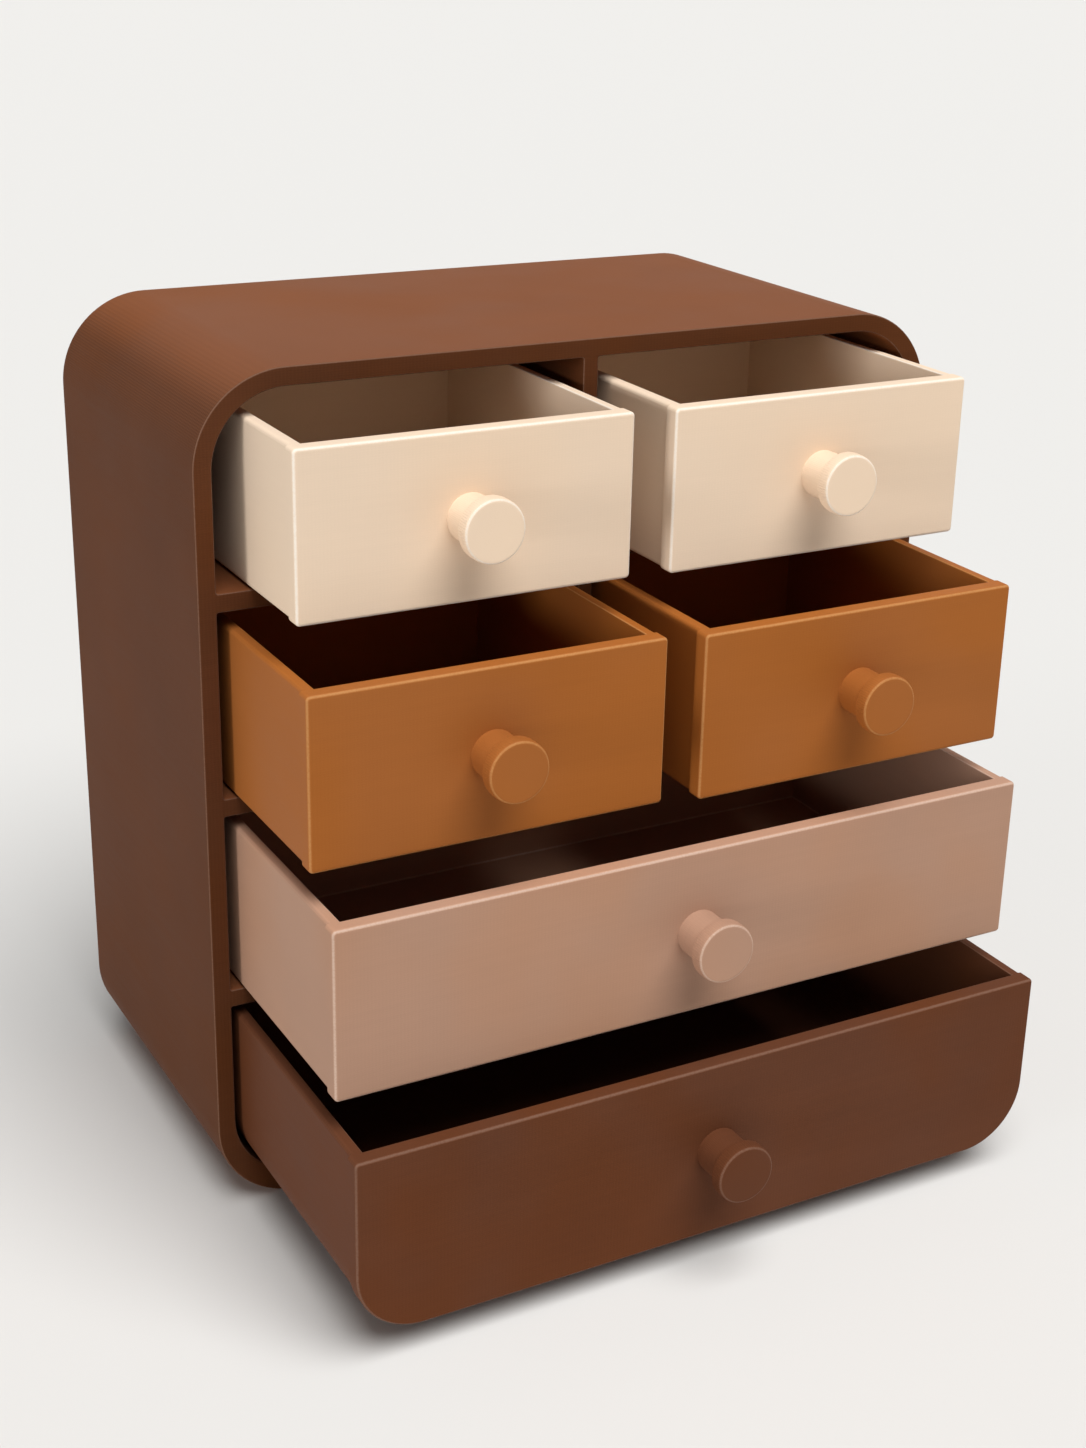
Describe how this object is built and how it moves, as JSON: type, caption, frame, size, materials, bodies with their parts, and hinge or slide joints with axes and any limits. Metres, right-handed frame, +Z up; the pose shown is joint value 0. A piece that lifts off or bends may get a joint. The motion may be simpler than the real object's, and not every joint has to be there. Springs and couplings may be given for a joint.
{
  "type": "desktop mini drawers",
  "caption": "Small rounded desktop case of slide-out trays with mushroom knobs, for craft parts and supplies.",
  "frame": {"origin": "middle of the case's flat underside, on the surface it stands on", "axes": "+Z up, +X to the right of someone facing the drawers, -Y out of the drawer fronts"},
  "size_m": [0.16, 0.1455, 0.17],
  "materials": {
    "case_plastic": "satin, fine layer lines",
    "cream_plastic": "satin, fine layer lines",
    "caramel_plastic": "satin, fine layer lines",
    "taupe_plastic": "satin, fine layer lines",
    "brown_plastic": "satin, fine layer lines",
    "screw_steel": "zinc plated"
  },
  "bodies": {
    "case": {"case": "case_plastic"},
    "drawer_cream_left": {"drawer_cream_left": "cream_plastic", "knob_cream_left": "cream_plastic", "knob_screw_cream_left": "screw_steel"},
    "drawer_cream_right": {"drawer_cream_right": "cream_plastic", "knob_cream_right": "cream_plastic", "knob_screw_cream_right": "screw_steel"},
    "drawer_caramel_left": {"drawer_caramel_left": "caramel_plastic", "knob_caramel_left": "caramel_plastic", "knob_screw_caramel_left": "screw_steel"},
    "drawer_caramel_right": {"drawer_caramel_right": "caramel_plastic", "knob_caramel_right": "caramel_plastic", "knob_screw_caramel_right": "screw_steel"},
    "drawer_taupe": {"drawer_taupe": "taupe_plastic", "knob_taupe": "taupe_plastic", "knob_screw_taupe": "screw_steel"},
    "drawer_brown": {"drawer_brown": "brown_plastic", "knob_brown": "brown_plastic", "knob_screw_brown": "screw_steel"}
  },
  "joints": [
    {"name": "slide_cream_left", "type": "slide", "parent": "case", "child": "drawer_cream_left", "axis": [0, -1, 0], "range_m": [-0.0237, 0.0383]},
    {"name": "slide_cream_right", "type": "slide", "parent": "case", "child": "drawer_cream_right", "axis": [0, -1, 0], "range_m": [-0.0248, 0.0372]},
    {"name": "slide_caramel_left", "type": "slide", "parent": "case", "child": "drawer_caramel_left", "axis": [0, -1, 0], "range_m": [-0.0373, 0.0247]},
    {"name": "slide_caramel_right", "type": "slide", "parent": "case", "child": "drawer_caramel_right", "axis": [0, -1, 0], "range_m": [-0.0394, 0.0226]},
    {"name": "slide_taupe", "type": "slide", "parent": "case", "child": "drawer_taupe", "axis": [0, -1, 0], "range_m": [-0.0469, 0.0151]},
    {"name": "slide_brown", "type": "slide", "parent": "case", "child": "drawer_brown", "axis": [0, -1, 0], "range_m": [-0.0575, 0.0045]}
  ]
}
